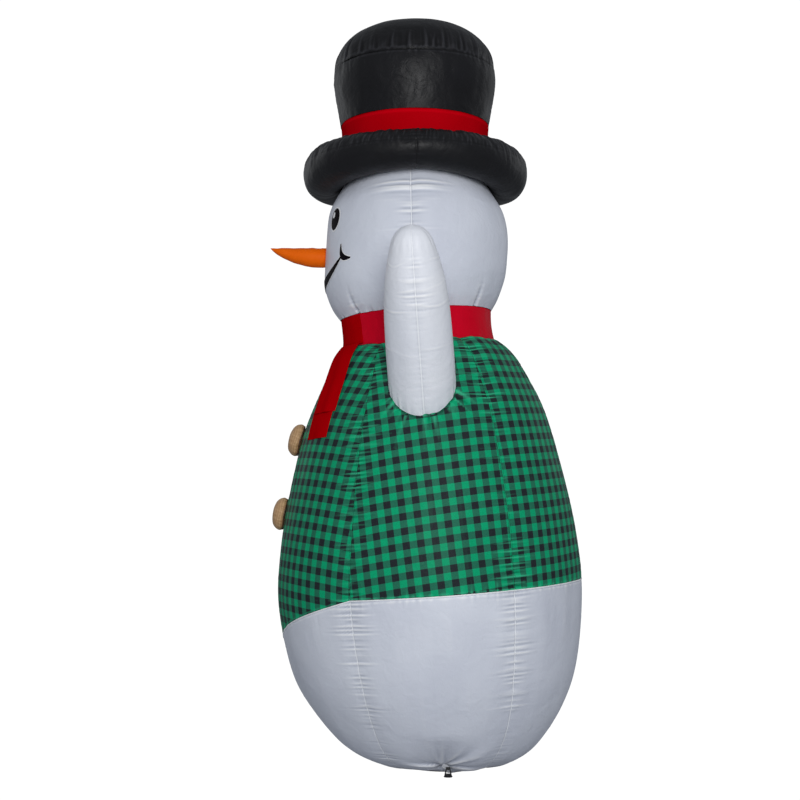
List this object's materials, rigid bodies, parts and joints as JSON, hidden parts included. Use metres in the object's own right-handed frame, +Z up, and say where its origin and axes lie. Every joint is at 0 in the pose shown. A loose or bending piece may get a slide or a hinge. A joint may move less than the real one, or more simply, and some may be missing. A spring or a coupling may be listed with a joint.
{
  "type": "inflatable yard snowman",
  "caption": "Tall air-filled snowman with top hat, plaid vest, scarf, carrot nose and raised arms; blower, zip, lights and tie-downs.",
  "frame": {"origin": "centre of the underside of the floor panel, where the snowman stands on the ground", "axes": "+Z up; the face, nose and buttons look towards -Y; the snowman's own left arm is on +X"},
  "size_m": [1.7564, 1.5254, 3.635],
  "materials": {
    "white_cloth": "thin coated polyester, slightly shiny",
    "plaid_cloth": "printed green and black check on thin polyester",
    "red_cloth": "thin polyester, slightly shiny",
    "black_cloth": "thin polyester, slightly shiny",
    "black_print": "black ink on cloth",
    "orange_cloth": "thin polyester, slightly shiny",
    "wood_print_cloth": "wood grain printed on padded cloth",
    "black_plastic": "moulded, fine texture",
    "motor_steel": "zinc plated",
    "zip_metal": "plated zinc casting",
    "zip_tape": "woven tape with moulded teeth",
    "webbing": "ribbed woven strap",
    "lamp_lens": "frosted translucent cap"
  },
  "bodies": {
    "envelope": {"floor_panel": "white_cloth", "lower_gore_1": "white_cloth", "lower_gore_2": "white_cloth", "lower_gore_3": "white_cloth", "lower_gore_4": "white_cloth", "lower_gore_5": "white_cloth", "lower_gore_6": "white_cloth", "vest_gore_1": "plaid_cloth", "vest_gore_2": "plaid_cloth", "vest_gore_3": "plaid_cloth", "vest_gore_4": "plaid_cloth", "vest_gore_5": "plaid_cloth", "vest_gore_6": "plaid_cloth", "neck_band_front": "red_cloth", "neck_band_back": "red_cloth", "scarf_wrap": "red_cloth", "head_panel_front": "white_cloth", "head_panel_back": "white_cloth", "eye_left": "black_print", "eye_right": "black_print", "mouth": "black_print", "nose": "orange_cloth", "hat_brim_lower_front": "black_cloth", "hat_brim_lower_back": "black_cloth", "hat_brim_upper_front": "black_cloth", "hat_brim_upper_back": "black_cloth", "hat_band_left": "red_cloth", "hat_band_right": "red_cloth", "hat_crown_side_left": "black_cloth", "hat_crown_side_right": "black_cloth", "hat_crown_top": "black_cloth", "button_upper": "wood_print_cloth", "button_lower": "wood_print_cloth", "blower_grille": "black_plastic", "blower_clamp_ring": "black_plastic", "blower_screw_1": "motor_steel", "blower_screw_2": "motor_steel", "blower_screw_3": "motor_steel", "fan_duct": "black_plastic", "motor_bracket": "black_plastic", "fan_motor": "motor_steel", "cord_gland": "black_plastic", "zip_tape_left": "zip_tape", "zip_tape_right": "zip_tape", "tie_down_tab_left": "webbing", "tie_down_tab_right": "webbing", "light_strap": "webbing", "light_lead": "black_plastic", "lamp_1": "lamp_lens", "lamp_2": "lamp_lens", "lamp_3": "lamp_lens"},
    "arm_left": {"arm_left": "white_cloth"},
    "arm_right": {"arm_right": "white_cloth"},
    "scarf_tails": {"scarf_tail_long": "red_cloth", "scarf_tail_short": "red_cloth"},
    "fan": {"fan_impeller": "black_plastic"},
    "zip_slider": {"zip_slider": "zip_metal"},
    "zip_tab": {"zip_pull_tab": "zip_metal"},
    "tie_down_left": {"tie_down_anchor_left": "black_plastic"},
    "tie_down_right": {"tie_down_anchor_right": "black_plastic"}
  },
  "joints": [
    {"name": "fan_spin", "type": "hinge", "parent": "envelope", "child": "fan", "pos_m": [-0.30208, 0.48389, 0.30097], "axis": [-0.4453, 0.7845, -0.4315], "continuous": true},
    {"name": "arm_left_swing", "type": "hinge", "parent": "envelope", "child": "arm_left", "pos_m": [0.458, -0.112, 1.717], "axis": [0, 1, 0], "range_deg": [-12, 12], "stiffness_Nm_per_rad": 60},
    {"name": "arm_right_swing", "type": "hinge", "parent": "envelope", "child": "arm_right", "pos_m": [-0.458, -0.112, 1.717], "axis": [0, -1, 0], "range_deg": [-12, 12], "stiffness_Nm_per_rad": 60},
    {"name": "scarf_tails_flap", "type": "hinge", "parent": "envelope", "child": "scarf_tails", "pos_m": [0.1725, -0.4636, 2.006], "axis": [-0.891, -0.454, 0], "range_deg": [0, 60]},
    {"name": "zip_slide", "type": "slide", "parent": "envelope", "child": "zip_slider", "axis": [0.1025, 0.0055, -0.9947], "range_m": [0, 0.19]},
    {"name": "zip_tab_flip", "type": "hinge", "parent": "zip_slider", "child": "zip_tab", "pos_m": [-0.64956, 0.29843, 0.82047], "axis": [0.4993, 0.8646, 0.0562], "range_deg": [0, 150]},
    {"name": "tie_down_left_swing", "type": "hinge", "parent": "envelope", "child": "tie_down_left", "pos_m": [0.338, 0, 0.039], "axis": [0, -1, 0], "range_deg": [0, 70]},
    {"name": "tie_down_right_swing", "type": "hinge", "parent": "envelope", "child": "tie_down_right", "pos_m": [-0.338, 0, 0.039], "axis": [0, 1, 0], "range_deg": [0, 70]}
  ]
}
